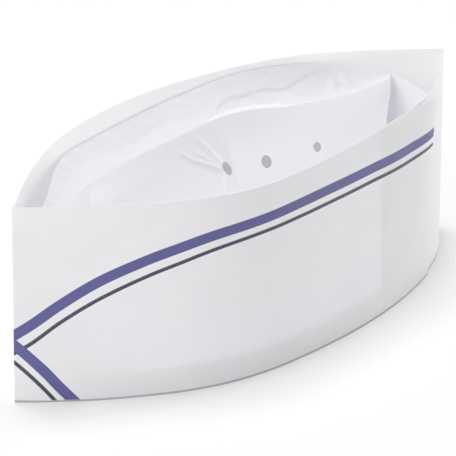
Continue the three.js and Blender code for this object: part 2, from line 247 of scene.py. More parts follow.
# Plan of the cuff: along = share of its length from the front fold, the rest = shares of
# the near or far bulge.
CUFF_PLAN = [
    dict(along=0.0, near_top=0.0, near_foot=0.0, far=0.0),
    dict(along=0.04, near_top=0.188, near_foot=0.185, far=0.182),
    dict(along=0.1, near_top=0.4, near_foot=0.4, far=0.415),
    dict(along=0.17, near_top=0.622, near_foot=0.603, far=0.637),
    dict(along=0.24, near_top=0.808, near_foot=0.773, far=0.8),
    dict(along=0.31, near_top=0.94, near_foot=0.887, far=0.901),
    dict(along=0.38, near_top=0.997, near_foot=0.945, far=0.963),
    dict(along=0.46, near_top=0.988, near_foot=0.96, far=0.997),
    dict(along=0.54, near_top=0.942, near_foot=0.945, far=0.978),
    dict(along=0.63, near_top=0.872, near_foot=0.897, far=0.922),
    dict(along=0.72, near_top=0.79, near_foot=0.812, far=0.825),
    dict(along=0.8, near_top=0.675, near_foot=0.69, far=0.674),
    dict(along=0.87, near_top=0.515, near_foot=0.53, far=0.467),
    dict(along=0.94, near_top=0.265, near_foot=0.3, far=0.225),
    dict(along=1.0, near_top=0.0, near_foot=0.0, far=0.0),
]

# Route of the far crown side: side = 1 lies on the far face of the cuff, -1 on the near face;
# top = share of the far crown side's greatest height.
FAR_CROWN_ROUTE = [
    dict(along=0.028, side=-0.98, top=0.9),
    dict(along=0.036, side=-0.4, top=0.92),
    dict(along=0.058, side=0.14, top=0.93),
    dict(along=0.1, side=0.5, top=0.935),
    dict(along=0.14, side=0.73, top=0.93),
    dict(along=0.18, side=0.88, top=0.926),
    dict(along=0.24, side=0.985, top=0.92),
    dict(along=0.34, side=1.0, top=0.915),
    dict(along=0.44, side=1.0, top=0.926),
    dict(along=0.55, side=1.0, top=0.957),
    dict(along=0.64, side=1.0, top=0.985),
    dict(along=0.74, side=1.0, top=0.982),
    dict(along=0.8, side=0.99, top=0.97),
    dict(along=0.835, side=0.9, top=0.957),
    dict(along=0.866, side=0.6, top=0.955),
    dict(along=0.879, side=0.2, top=0.957),
    dict(along=0.881, side=-0.25, top=0.96),
    dict(along=0.877, side=-0.65, top=0.955),
    dict(along=0.868, side=-0.93, top=0.95),
    dict(along=0.85, side=-1.0, top=0.95),
    dict(along=0.81, side=-1.0, top=0.95),
    dict(along=0.778, side=-1.0, top=0.95),
]

# Top edge of the near crown side: lean = share of the near bulge past the middle of the hat,
# top = share of the ridge height.
RIDGE = [
    dict(along=0.085, lean=0.04, top=0.85),
    dict(along=0.15, lean=0.02, top=0.895),
    dict(along=0.23, lean=0.0, top=0.945),
    dict(along=0.35, lean=0.0, top=0.98),
    dict(along=0.45, lean=0.0, top=1.0),
    dict(along=0.53, lean=0.0, top=0.98),
    dict(along=0.6, lean=0.0, top=0.938),
    dict(along=0.68, lean=0.0, top=0.907),
    dict(along=0.76, lean=0.0, top=0.881),
    dict(along=0.865, lean=0.012, top=0.88),
]

# Vents of both crown sides: place = which one, counted from the middle one; width and height
# = size, turn = degrees. On the near crown side, shift = share of the pitch that it stands
# out of line, and drop = share of the vent drop.
VENTS = [
    dict(place=-1, shift=0.26, drop=0.99, width=4.6 * MM, height=6.8 * MM, turn=8),
    dict(place=0, shift=0.0, drop=1.07, width=5.8 * MM, height=6.6 * MM, turn=-60),
    dict(place=1, shift=0.03, drop=0.92, width=4.4 * MM, height=5.2 * MM, turn=-60),
]

# Lip of the near crown side, folded back over the tissue: place = share of the ridge,
# length = of the lip. The pairs of zeros keep the curve from dipping below zero.
LIP = [
    dict(place=0.0, length=0.0 * MM),
    dict(place=0.41, length=0.0 * MM),
    dict(place=0.42, length=0.0 * MM),
    dict(place=0.46, length=1.7 * MM),
    dict(place=0.53, length=2.5 * MM),
    dict(place=0.61, length=3.2 * MM),
    dict(place=0.655, length=2.6 * MM),
    dict(place=0.695, length=0.0 * MM),
    dict(place=0.705, length=0.0 * MM),
    dict(place=1.0, length=0.0 * MM),
]

# Creases of the near crown side, from one point to another: place = share of its length, up =
# share of its leaning height; left and right = reach to each side, out = height of the crease.
NEAR_CREASES = [
    dict(place=0.443, up=0.8, to_place=0.398, to_up=0.95, left=1.5 * MM, right=1.8 * MM, out=1.1 * MM),
    dict(place=0.44, up=0.78, to_place=0.367, to_up=0.88, left=1.8 * MM, right=1.2 * MM, out=1.2 * MM),
    dict(place=0.367, up=0.88, to_place=0.335, to_up=0.94, left=2 * MM, right=1.6 * MM, out=0.7 * MM),
    dict(place=0.435, up=0.8, to_place=0.372, to_up=0.92, left=1.6 * MM, right=1.6 * MM, out=0.8 * MM),
    dict(place=0.472, up=0.91, to_place=0.482, to_up=0.66, left=10 * MM, right=1.6 * MM, out=1 * MM),
    dict(place=0.445, up=0.79, to_place=0.428, to_up=0.67, left=7 * MM, right=1.2 * MM, out=0.6 * MM),
    dict(place=0.428, up=0.668, to_place=0.482, to_up=0.66, left=1.5 * MM, right=3 * MM, out=0.5 * MM),
    dict(place=0.455, up=0.97, to_place=0.453, to_up=0.86, left=3 * MM, right=3 * MM, out=0.6 * MM),
    dict(place=0.088, up=1.03, to_place=0.084, to_up=0.8, left=18 * MM, right=7 * MM, out=-1.2 * MM),
]

# Soft dents and bulges of the near crown side: place and up = middle, in the same shares;
# length and height = reach, out = how far it stands out.
NEAR_DENTS = [
    dict(place=0.3, up=0.85, length=26 * MM, height=13 * MM, out=-0.3 * MM),
    dict(place=0.04, up=0.92, length=10 * MM, height=30 * MM, out=1.5 * MM),
    dict(place=0.13, up=0.9, length=12 * MM, height=16 * MM, out=0.8 * MM),
    dict(place=0.57, up=0.86, length=24 * MM, height=12 * MM, out=-0.8 * MM),
    dict(place=0.9, up=0.9, length=26 * MM, height=16 * MM, out=0.9 * MM),
]

# Sag of the tissue: share = of its length from the front, rise = in its middle, above the
# straight line between its two edges
TISSUE_RISE = [
    dict(share=0.0, rise=0.0 * MM),
    dict(share=0.08, rise=-1 * MM),
    dict(share=0.15, rise=-2 * MM),
    dict(share=0.22, rise=-3.5 * MM),
    dict(share=0.3, rise=-6 * MM),
    dict(share=0.4, rise=-7.5 * MM),
    dict(share=0.5, rise=-7 * MM),
    dict(share=0.6, rise=-6.5 * MM),
    dict(share=0.75, rise=-6.5 * MM),
    dict(share=0.9, rise=-4.5 * MM),
    dict(share=1.0, rise=-1 * MM),
]

# Far edge of the hollow behind the ridge: across = share of the tissue's width. The hollow
# deepens over the first three rows and ends over the last three.
HOLLOW_EDGE = [
    dict(share=0.5, across=-0.15),
    dict(share=0.54, across=0.35),
    dict(share=0.565, across=0.6),
    dict(share=0.604, across=0.75),
    dict(share=0.669, across=0.74),
    dict(share=0.708, across=0.76),
    dict(share=0.75, across=0.72),
    dict(share=0.79, across=0.82),
    dict(share=0.83, across=0.89),
    dict(share=0.858, across=0.88),
    dict(share=0.873, across=0.6),
    dict(share=0.885, across=0.2),
    dict(share=0.91, across=-0.15),
]

# Folds of the tissue, in the same terms as the creases of the near crown side
TISSUE_FOLDS = [
    dict(share=0.18, across=0.3, to_share=0.222, to_across=0.95, left=5 * MM, right=9 * MM, out=-1.2 * MM),
    dict(share=0.27, across=0.2, to_share=0.345, to_across=0.7, left=9 * MM, right=7 * MM, out=-1.6 * MM),
    dict(share=0.345, across=0.68, to_share=0.45, to_across=0.76, left=4 * MM, right=7 * MM, out=-1.2 * MM),
    dict(share=0.31, across=0.78, to_share=0.36, to_across=0.98, left=4 * MM, right=3 * MM, out=0.9 * MM),
    dict(share=0.438, across=0.3, to_share=0.438, to_across=0.72, left=4 * MM, right=1.5 * MM, out=1.3 * MM),
    dict(share=0.14, across=0.6, to_share=0.16, to_across=0.98, left=4 * MM, right=3 * MM, out=0.9 * MM),
    dict(share=0.56, across=0.78, to_share=0.5, to_across=0.98, left=4 * MM, right=4 * MM, out=0.8 * MM),
    dict(share=0.838, across=0.5, to_share=0.86, to_across=0.8, left=3 * MM, right=3 * MM, out=1.4 * MM),
    dict(share=0.875, across=0.45, to_share=0.885, to_across=0.8, left=3 * MM, right=4 * MM, out=1.2 * MM),
    dict(share=0.77, across=0.5, to_share=0.76, to_across=0.75, left=4 * MM, right=4 * MM, out=0.9 * MM),
    dict(share=0.69, across=0.5, to_share=0.66, to_across=0.95, left=4 * MM, right=3 * MM, out=0.8 * MM),
]

# Centre lines of the two stripes of a band: along = distance on the paper from the crossing,
# wide and thin = heights above the rim.
STRIPES = [
    dict(along=-34.2 * MM, wide=-5.4 * MM, thin=-15 * MM),
    dict(along=-23.2 * MM, wide=7.2 * MM, thin=-2.2 * MM),
    dict(along=-15.2 * MM, wide=16.8 * MM, thin=7.7 * MM),
    dict(along=-2.7 * MM, wide=29.2 * MM, thin=20.5 * MM),
    dict(along=11.5 * MM, wide=39.6 * MM, thin=30.5 * MM),
    dict(along=22.5 * MM, wide=48 * MM, thin=39.3 * MM),
    dict(along=39.5 * MM, wide=58.9 * MM, thin=50.3 * MM),
    dict(along=60.5 * MM, wide=68.1 * MM, thin=60.2 * MM),
    dict(along=76.5 * MM, wide=73.2 * MM, thin=65.7 * MM),
    dict(along=92.5 * MM, wide=77.1 * MM, thin=70.1 * MM),
    dict(along=109.5 * MM, wide=79.1 * MM, thin=72.6 * MM),
    dict(along=142.7 * MM, wide=80.4 * MM, thin=73.8 * MM),
    dict(along=186 * MM, wide=79 * MM, thin=72.6 * MM),
    dict(along=224.7 * MM, wide=76.8 * MM, thin=70.4 * MM),
    dict(along=290 * MM, wide=77.4 * MM, thin=71 * MM),
    dict(along=380 * MM, wide=78.4 * MM, thin=72 * MM),
]


def mix(start, end, share):
    return start + (end - start) * share


def smoothstep(value, low, high):
    """Rises softly from 0 at the low value to 1 at the high one."""
    share = np.clip((value - low) / (high - low), 0, 1)
    return share * share * (3 - 2 * share)


def unit(vectors):
    return vectors / np.maximum(np.linalg.norm(vectors, axis=-1, keepdims=True), SMALLEST)


def distance_walked(points):
    """Length of a line of points from its start to each point."""
    return np.concatenate(([0], np.cumsum(np.linalg.norm(np.diff(points, axis=0), axis=1))))


def smooth_curve(places, values):
    """A smooth curve through values at places, level beyond its ends."""
    secants = np.diff(values) / np.diff(places)
    slopes = np.concatenate((secants[:1], (secants[:-1] + secants[1:]) / 2, secants[-1:]))

    def curve(at):
        k = np.clip(np.searchsorted(places, at, side="right") - 1, 0, len(places) - 2)
        width = places[k + 1] - places[k]
        share = np.clip((at - places[k]) / width, 0, 1)
        bend = slopes[k] * (1 - share) - slopes[k + 1] * share
        turn = secants[k] * (2 * share - 1)
        return mix(values[k], values[k + 1], share) + width * share * (1 - share) * (bend + turn)

    return curve


def column(rows, name, key="along"):
    """A smooth curve through one column of a table."""
    places = np.array([row[key] for row in rows])
    return smooth_curve(places, np.array([row[name] for row in rows]))


near_top = column(CUFF_PLAN, "near_top")
near_foot = column(CUFF_PLAN, "near_foot")
far_share = column(CUFF_PLAN, "far")
ridge_lean = column(RIDGE, "lean")
ridge_top = column(RIDGE, "top")


def cuff_point(side, along, up):
    """A point on the cuff's outer face, in plan; up = 0 at the rim and 1 at the top."""
    front = -BACK_X + FRONT_LEAN * up
    fade = NEAR_REACH_FADE if side == "near" else FAR_REACH_FADE
    x = mix(front, BACK_X, along) - FRONT_REACH * (1 - smoothstep(along, 0, fade))
    if side == "near":
        y = MID_Y - NEAR_BULGE * mix(near_foot(along), near_top(along), up)
    else:
        y = MID_Y + FAR_BULGE * far_share(along)
    return np.stack(np.broadcast_arrays(x, y), axis=-1)


def inside_cuff(side, along, up, depth):
    """The same point moved inward, square to the face."""
    after = cuff_point(side, along + PLAN_STEP, up)
    before = cuff_point(side, along - PLAN_STEP, up)
    run = unit(after - before)
    turn = 1 if side == "near" else -1
    inward = np.stack((-run[..., 1], run[..., 0]), axis=-1) * turn
    return cuff_point(side, along, up) + inward * np.expand_dims(depth, -1)


def cut_end(up):
    """Share of the length where the near side's cut end stands."""
    return 1 - mix(FLAP_SHOWN_FOOT, FLAP_SHOWN_TOP, up) / CUFF_LENGTH


def flap_start(up):
    return cut_end(up) - FLAP_HIDDEN / CUFF_LENGTH


def flap_depth(along, up):
    """Depth of the flap's outer face below the near side's line."""
    return (CUFF_PAPER + LAYER_GAP) * (1 - smoothstep(along, cut_end(up), 1))


def near_depth(along, up):
    """Depth of the innermost face of the cuff on the near side."""
    start = flap_start(up)
    on_flap = smoothstep(along, start - HEM_RAMP / CUFF_LENGTH, start)
    return CUFF_PAPER + on_flap * flap_depth(along, up)


def raised(plan, height):
    """Points of a plan at a height."""
    return np.concatenate((plan, np.broadcast_to(height, plan.shape[:-1])[..., None]), axis=-1)


def round_fold(line, corner, reach):
    """Bends a folded line's corner into a tight curve, over some points each way."""
    first, middle, last = line[corner - reach], line[corner], line[corner + reach]
    share = np.linspace(0, 1, 2 * reach + 1)[:, None]
    curve = first * (1 - share) ** 2 + 2 * middle * share * (1 - share) + last * share**2
    line[corner - reach:corner + reach + 1] = curve


def fold_spread(start, end, steps):
    """Places from start to end, closer together over the last few next to each fold."""
    reach = FOLD_REACH / CUFF_LENGTH
    from_fold = start in (0, 1)
    to_fold = end in (0, 1)
    sign = 1 if end > start else -1
    low = start + sign * reach if from_fold else start
    high = end - sign * reach if to_fold else end
    parts = []
    if from_fold:
        parts.append(np.linspace(start, low, FOLD_STEPS, endpoint=False))
    parts.append(np.linspace(low, high, steps, endpoint=not to_fold))
    if to_fold:
        parts.append(np.linspace(high, end, FOLD_STEPS, endpoint=False))
    return np.concatenate(parts)


def cuff_line(up):
    """The cuff's outer line at one level: the near side from its cut end to the front fold,
    the far side to the back fold, and the flap back behind the near side. Gives the line and
    the numbers of its points at the front and back folds."""
    end = cut_end(up)
    near = fold_spread(end, 0, NEAR_STEPS)
    far = fold_spread(0, 1, FAR_STEPS)
    flap = fold_spread(1, flap_start(up), FLAP_STEPS)
    spring = smoothstep(near, end - SPRING_REACH / CUFF_LENGTH, end) * FLAP_SPRING * up * up
    line = np.concatenate((
        inside_cuff("near", near, up, -spring),
        cuff_point("far", far, up),
        inside_cuff("near", flap, up, flap_depth(flap, up)),
    ))
    front = len(near)
    back = front + len(far)
    for corner in (front, back):
        round_fold(line, corner, FOLD_STEPS)
    return line, front, back


def grid_normals(grid, turn=1):
    """Unit normals of a grid of points: turn = 1 to the left of someone who walks along its
    rows outside, and -1 to the right."""
    run = np.gradient(grid, axis=1)
    rise = np.gradient(grid, axis=0)
    return unit(np.cross(run, rise) * turn)


def waves(grid, scale, seed):
    """Soft random numbers, about -1 to 1, at the points of a grid."""
    flat = grid.reshape(-1, 3)
    values = [noise.noise(Vector(point) / scale + Vector((seed, 0, 0))) for point in flat]
    return np.array(values).reshape(grid.shape[:-1])


def sheet_mesh(name, grid, thickness, turn=1, attributes=None):
    """A closed thin sheet with a grid of points as its outer face, the inner face a
    thickness behind it. The outer face has the first material and the rest the second."""
    rows, columns = grid.shape[:2]
    inner = grid - grid_normals(grid, turn) * thickness
    corners = np.concatenate((grid.reshape(-1, 3), inner.reshape(-1, 3)))
    number = np.arange(rows * columns).reshape(rows, columns)
    quads = np.stack((number[:-1, :-1], number[:-1, 1:], number[1:, 1:], number[1:, :-1]), -1)
    outer_faces = quads.reshape(-1, 4)
    inner_faces = outer_faces[:, ::-1] + rows * columns
    ring = np.concatenate((number[0, :-1], number[:-1, -1], number[-1, :0:-1], number[:0:-1, 0]))
    after = np.roll(ring, -1)
    rim_faces = np.stack((after, ring, ring + rows * columns, after + rows * columns), -1)
    every_face = np.concatenate((outer_faces, inner_faces, rim_faces))
    mesh = bpy.data.meshes.new(name)
    mesh.from_pydata(corners.tolist(), [], every_face.tolist())
    for key, values in (attributes or {}).items():
        layer = mesh.attributes.new(key, "FLOAT", "POINT")
        layer.data.foreach_set("value", np.tile(values.reshape(-1), 2).astype(np.float32))
    kinds = np.ones(len(every_face), dtype=np.int32)
    kinds[:len(outer_faces)] = 0
    mesh.polygons.foreach_set("material_index", kinds)
    mesh.update()
    return mesh


def add_piece(name, mesh, materials, node):
    """A piece of the hat that stands for one CAD node."""
    piece = bpy.data.objects.new(name, mesh)
    bpy.context.scene.collection.objects.link(piece)
    for material in materials:
        piece.data.materials.append(material)
    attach(piece, "root")
    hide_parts(node)
    return piece


def finish_faces(piece, angle):
    """Faces that point out, smooth but for the edges sharper than an angle in degrees."""
    body = bmesh.new()
    body.from_mesh(piece.data)
    bmesh.ops.recalc_face_normals(body, faces=body.faces)
    body.to_mesh(piece.data)
    body.free()
    piece.data.shade_smooth()
    piece.data.set_sharp_from_angle(angle=math.radians(angle))


def apply_modifiers(piece):
    graph = bpy.context.evaluated_depsgraph_get()
    mesh = bpy.data.meshes.new_from_object(piece.evaluated_get(graph))
    piece.modifiers.clear()
    piece.data = mesh


# Cuff
def band_offsets(along, height, name):
    """How far each point lies above a stripe's centre line, square to the stripe."""
    line = column(STRIPES, name)
    slope = (line(along + STRIPE_STEP) - line(along - STRIPE_STEP)) / (2 * STRIPE_STEP)
    return (height - line(along)) / np.sqrt(1 + slope * slope)


def cuff_grid():
    """The cuff's outer face before it waves, with each point's distances on the paper to the
    near side from the front fold and onto the flap from the back fold."""
    grid = []
    from_front = []
    past_back = []
    for up in np.linspace(0, 1, CUFF_LEVELS + 1):
        line, front, back = cuff_line(up)
        walked = distance_walked(line)
        from_front.append(walked[front] - walked)
        past_back.append(walked - walked[back])
        grid.append(raised(line, CUFF_HEIGHT * up))
    return np.array(grid), np.array(from_front), np.array(past_back)


def cuff_prints(height, from_front, past_back):
    """Offsets from the stripes' centre lines, and the strength of the ink at each point, weakened and faded
    out on the flap as painted sheen.
    """
    # Painted sheen: the flap's ink is weakened and fades out past the back fold
    fade = 1 - smoothstep(past_back, FLAP_SHEEN_FADE_START, FLAP_SHEEN_FADE_END)
    prints = {"ink": np.where(past_back > 0, FLAP_INK_UNDER_PAINTED_SHEEN * fade, 1)}
    for name in ("wide", "thin"):
        prints["near_" + name] = band_offsets(from_front + CROSSING, height, name)
        prints["far_" + name] = band_offsets(-from_front - CROSSING, height, name)
    return prints


def wave_cuff(grid, from_front):
    """Soft waves in the cuff's faces, away from its front fold, and along its near rim."""
    free = smoothstep(np.abs(from_front), 0, FOLD_CALM)
    near = smoothstep(MID_Y - grid[..., 1], *NEAR_WAVE_FADE)
    low = (1 - smoothstep(grid[..., 2], 0, RIM_WAVE_REACH)) * near
    out = grid_normals(grid, -1)
    out[..., 2] = 0
    face_waves = waves(grid, CUFF_WAVE_LENGTH, CUFF_WAVE_SEED) * free
    grid += out * (face_waves * mix(FAR_WAVE_SHARE, 1, near) * CUFF_WAVE)[..., None]
    grid[..., 2] += low * RIM_WAVE * (1 + waves(grid, RIM_WAVE_LENGTH, RIM_WAVE_SEED))


def make_cuff(materials):
    grid, from_front, past_back = cuff_grid()
    prints = cuff_prints(grid[..., 2], from_front, past_back)
    wave_cuff(grid, from_front)
    mesh = sheet_mesh("cuff_paper", grid, CUFF_PAPER, -1, prints)
    piece = add_piece("cuff_paper", mesh, materials, "cuff")
    finish_faces(piece, PAPER_SHARP)


# Crown sides
def far_crown_line(up):
    """The far crown side's route at one level, with the height of its top edge."""
    rows = np.array([[row["along"], row["side"], row["top"]] for row in FAR_CROWN_ROUTE])
    chords = np.sqrt(np.linalg.norm(np.diff(rows, axis=0), axis=1))
    places = np.concatenate(([0], np.cumsum(chords)))
    at = np.linspace(0, places[-1], BAND_STEPS + 1)
    along, side, top = (smooth_curve(places, rows[:, k])(at) for k in range(3))
    near = inside_cuff("near", along, up, near_depth(along, up) + LAYER_GAP)
    far = inside_cuff("far", along, up, CUFF_PAPER + FAR_GAP)
    face = np.where((side < 0)[:, None], near, far)
    across = np.minimum(np.abs(side), 1)
    y = mix(MID_Y, face[:, 1], across)
    return np.stack((face[:, 0], y), axis=-1), top * FAR_TOP_HEIGHT


def far_crown_grid():
    """The far crown side's outer face, from its foot to its top edge."""
    grid = []
    for up in np.linspace(0, 1, BAND_LEVELS + 1):
        line, top = far_crown_line(up)
        grid.append(raised(line, mix(CROWN_FOOT_LIFT, top, up)))
    return np.array(grid)


def ridge_point(along):
    """A point on the ridge at a share of the cuff's length."""
    plan = cuff_point("near", along, 1)
    y = MID_Y + ridge_lean(along) * NEAR_BULGE
    return np.stack((plan[..., 0], y, ridge_top(along) * RIDGE_HEIGHT), axis=-1)


def ridge_at(place):
    """A point on the near crown side's ridge at a share of its own length."""
    return ridge_point(mix(RIDGE[0]["along"], RIDGE[-1]["along"], place))


def ridge_length():
    return np.linalg.norm(ridge_at(1) - ridge_at(0))


def hem_at(place, height):
    """A point on the near crown side's hem, at a share of its length and a height."""
    along = (HEM_FRONT + HEM_LENGTH * place) / CUFF_LENGTH
    up = height / CUFF_HEIGHT
    plan = inside_cuff("near", along, up, near_depth(along, up) + LAYER_GAP)
    return raised(plan, height)


def crease_height(along, across, start, end, left, right):
    """Height of a straight crease, from 0 to 1, at points measured along and across a sheet:
    a sharp line from start to end that slopes down over a reach to its left and its right."""
    run = np.array(end) - np.array(start)
    length = np.linalg.norm(run)
    run /= length
    walked = (along - start[0]) * run[0] + (across - start[1]) * run[1]
    aside = (across - start[1]) * run[0] - (along - start[0]) * run[1]
    reach = np.where(aside > 0, left, right)
    slope = np.clip(1 - np.abs(aside) / reach, 0, 1)
    ends = smoothstep(walked / length, *CREASE_START)
    ends *= 1 - smoothstep(walked / length, *CREASE_END)
    return slope**CREASE_SHARPNESS * ends


def near_relief(place, up):
    """How far the leaning part stands out from its plain shape: its dents and creases."""
    length = ridge_length()
    along = place * length
    height = up * NEAR_SLANT
    relief = np.zeros_like(along)
    for row in NEAR_DENTS:
        away = (along - row["place"] * length) ** 2 / row["length"] ** 2
        away += (height - row["up"] * NEAR_SLANT) ** 2 / row["height"] ** 2
        relief += row["out"] * np.exp(-2 * away)
    for row in NEAR_CREASES:
        start = (row["place"] * length, row["up"] * NEAR_SLANT)
        end = (row["to_place"] * length, row["to_up"] * NEAR_SLANT)
        shape = crease_height(along, height, start, end, row["left"], row["right"])
        relief += row["out"] * shape
    return relief


def lean_point(place, up):
    """A point on the leaning part of the near crown side: up = 0 at the hem, 1 at the ridge."""
    low = hem_at(place, HEM_HEIGHT)
    high = ridge_at(place)
    rise = unit(high - low)
    out = np.stack((np.zeros_like(rise[..., 0]), -rise[..., 2], rise[..., 1]), axis=-1)
    bow = np.sin(math.pi * up) * LEAN_BOW
    rolled = (1 - smoothstep(place, *ROLL_FADE)) * LEAN_ROLL
    bow = bow + rolled * smoothstep(up, *ROLL_RISE) * (1 - smoothstep(up, *ROLL_FALL))
    bow = bow + near_relief(place, up) * smoothstep(up, *RELIEF_RISE)
    return mix(low, high, np.expand_dims(up, -1)) + out * np.expand_dims(bow, -1)


def lip_rows(place, ridge, below):
    """Rows that turn back over the tissue in a tight curve and run on to the lip's edge, from
    the ridge and the row below it."""
    length = LIP_LEAST + np.maximum(column(LIP, "length", "place")(place), 0)
    rise = unit(ridge - below)
    back = np.stack((np.zeros_like(rise[..., 0]), rise[..., 2], -rise[..., 1]), axis=-1)
    rows = []
    for turn in np.linspace(0, LIP_TURN, LIP_STEPS + 1)[1:]:
        roll = back * (1 - math.cos(turn)) + rise * math.sin(turn)
        rows.append(ridge + roll * LIP_RADIUS)
    way = back * math.sin(LIP_TURN) + rise * math.cos(LIP_TURN)
    fold = rows[-1]
    for share in (0.5, 1):
        rows.append(fold + way * (share * length)[:, None])
    return rows


def near_crown_grid():
    """The near crown side's outer face: its hem, its leaning part and its lip."""
    place = np.linspace(0, 1, CROWN_STEPS + 1)
    grid = []
    for height in np.linspace(CROWN_FOOT_LIFT, HEM_HEIGHT, HEM_LEVELS, endpoint=False):
        grid.append(hem_at(place * BACK_CUT, height))
    for up in np.linspace(0, 1, LEAN_LEVELS + 1):
        cut = mix(1, BACK_CUT, smoothstep(1 - up, 0, BACK_CUT_DROP))
        grid.append(lean_point(place * cut, np.full_like(place, up)))
    return np.array(grid + lip_rows(place, grid[-1], grid[-2]))


def punch(piece, centre, direction, row):
    """Cuts an oval vent through a piece."""
    body = bmesh.new()
    bmesh.ops.create_cone(
        body, cap_ends=True, segments=VENT_SIDES, radius1=0.5, radius2=0.5, depth=VENT_REACH,
    )
    bmesh.ops.scale(body, vec=(row["width"], row["height"], 1), verts=body.verts)
    spin = Matrix.Rotation(math.radians(row["turn"]), 3, "Z")
    bmesh.ops.rotate(body, matrix=spin, verts=body.verts)
    mesh = bpy.data.meshes.new("punch")
    body.to_mesh(mesh)
    body.free()
    tool = bpy.data.objects.new("punch", mesh)
    bpy.context.scene.collection.objects.link(tool)
    tool.location = centre
    tool.rotation_mode = "QUATERNION"
    tool.rotation_quaternion = Vector(direction).to_track_quat("Z", "Y")
    bpy.context.view_layer.update()
    cut = piece.modifiers.new("vent", "BOOLEAN")
    cut.operation = "DIFFERENCE"
    cut.solver = "EXACT"
    cut.object = tool
    apply_modifiers(piece)
    bpy.data.objects.remove(tool)


def make_far_crown(materials):
    mesh = sheet_mesh("crown_far_paper", far_crown_grid(), CROWN_PAPER, -1)
    piece = add_piece("crown_far_paper", mesh, materials, "crown_far_side")
    finish_faces(piece, PAPER_SHARP)
    for row in VENTS:
        along = FAR_VENT_MIDDLE + row["place"] * VENT_PITCH / CUFF_LENGTH
        plan = inside_cuff("far", along, 1, CUFF_PAPER + LAYER_GAP)
        across = cuff_point("far", along, 1) - plan
        punch(piece, (*plan, FAR_TOP_HEIGHT - VENT_DROP), (*across, 0), row)


def make_near_crown(materials):
    mesh = sheet_mesh("crown_near_paper", near_crown_grid(), CROWN_PAPER)
    piece = add_piece("crown_near_paper", mesh, materials, "crown_near_side")
    finish_faces(piece, PAPER_SHARP)
    for row in VENTS:
        place = NEAR_VENT_MIDDLE + (row["place"] + row["shift"]) * VENT_PITCH / ridge_length()
        slant = np.linalg.norm(ridge_at(place) - hem_at(place, HEM_HEIGHT))
        up = 1 - VENT_DROP * row["drop"] / slant
        run = lean_point(place + LEAN_STEP, up) - lean_point(place - LEAN_STEP, up)
        rise = lean_point(place, up + LEAN_STEP) - lean_point(place, up - LEAN_STEP)
        punch(piece, lean_point(place, up), np.cross(run, rise), row)


# Tissue top
def tissue_edges():
    """The tissue's two held edges, point by point from its front to its back."""
    line, top = far_crown_line(1)
    edge = raised(line, top)
    edge = edge[edge[:, 1] > ridge_at(0)[1] + TISSUE_START]
    edge[:, 2] -= TISSUE_TUCK
    walked = distance_walked(edge)
    share = np.linspace(0, 1, TISSUE_STEPS + 1)
    far = np.stack([np.interp(share * walked[-1], walked, edge[:, k]) for k in range(3)], -1)
    place = np.clip((far[:, 0] - far[0, 0]) / (far[-1, 0] - far[0, 0]), 0, 1)
    near = lean_point(place, np.ones_like(place))
    near[:, 1] += CROWN_PAPER + LAYER_GAP
    near[:, 2] -= TISSUE_TUCK
    return near, far


def tissue_relief(share, across, length, width):
    """How high the tissue stands over the straight lines between its two edges, and how free
    of them it is, from 0 to 1."""
    middle = np.sin(math.pi * across**SAG_SKEW)
    fullness = np.minimum(width / (FAR_BULGE / 2), 1)
    relief = column(TISSUE_RISE, "rise", "share")(share) * middle * fullness
    edge = column(HOLLOW_EDGE, "across", "share")(share)
    inside = smoothstep((edge - across) * width, 0, HOLLOW_WALL)
    inside *= smoothstep(across, *HOLLOW_RISE)
    inside *= smoothstep(share, HOLLOW_EDGE[0]["share"], HOLLOW_EDGE[2]["share"])
    inside *= 1 - smoothstep(share, HOLLOW_EDGE[-3]["share"], HOLLOW_EDGE[-1]["share"])
    relief -= inside * HOLLOW_DEPTH
    loose = smoothstep(across, *HELD_NEAR) * (1 - smoothstep(across, *HELD_FAR))
    place = share * length
    aside = across * FAR_BULGE
    for row in TISSUE_FOLDS:
        start = (row["share"] * length, row["across"] * FAR_BULGE)
        end = (row["to_share"] * length, row["to_across"] * FAR_BULGE)
        shape = crease_height(place, aside, start, end, row["left"], row["right"])
        relief += row["out"] * shape * loose * fullness
    return relief, loose * fullness


def tissue_grid():
    """The tissue's upper face, crumpled and gathered along its far edge."""
    near, far = tissue_edges()
    across = np.linspace(0, 1, TISSUE_LEVELS + 1)[:, None]
    share = np.linspace(0, 1, TISSUE_STEPS + 1)[None, :]
    grid = mix(near[None], far[None], across[..., None])
    length = np.linalg.norm(np.diff(far, axis=0), axis=1).sum()
    width = np.linalg.norm(far - near, axis=1)[None, :]
    relief, free = tissue_relief(share, across, length, width)
    crumple = np.abs(waves(grid, CRUMPLE_LENGTH, CRUMPLE_SEED))
    fine = np.abs(waves(grid, FINE_CRUMPLE_LENGTH, FINE_CRUMPLE_SEED))
    crumple += FINE_CRUMPLE_SHARE * fine
    seam = smoothstep(across, *SEAM_RISE) * (1 - smoothstep(across, *SEAM_FALL))
    edge = np.broadcast_to(far, grid.shape)
    gathers = np.abs(waves(edge, GATHER_LENGTH, GATHER_SEED)) * seam
    grid[..., 2] += relief + (CRUMPLE_MEAN - crumple) * 2 * CRUMPLE * free + gathers * GATHER
    return grid


def make_tissue(materials):
    mesh = sheet_mesh("crown_tissue", tissue_grid(), TISSUE_PAPER)
    piece = add_piece("crown_tissue", mesh, materials, "crown_tissue_top")
    finish_faces(piece, TISSUE_SHARP)
    return piece


# Materials
def new_material(paper):
    material = bpy.data.materials.new(paper["name"])
    material.use_nodes = True
    shader = material.node_tree.nodes["Principled BSDF"]
    shader.inputs["Base Color"].default_value = (*paper["whites"][1], 1)
    shader.inputs["Roughness"].default_value = paper["roughness"]
    shader.inputs["Specular IOR Level"].default_value = PAPER_GLOSS
    shader.inputs["Subsurface Weight"].default_value = paper["glow"]
    shader.inputs["Subsurface Radius"].default_value = (1, 1, 1)
    shader.inputs["Subsurface Scale"].default_value = paper["glow_depth"]
    return material, shader


def add_node(tree, kind, **settings):
    node = tree.nodes.new(kind)
    for key, value in settings.items():
        setattr(node, key, value)
    return node


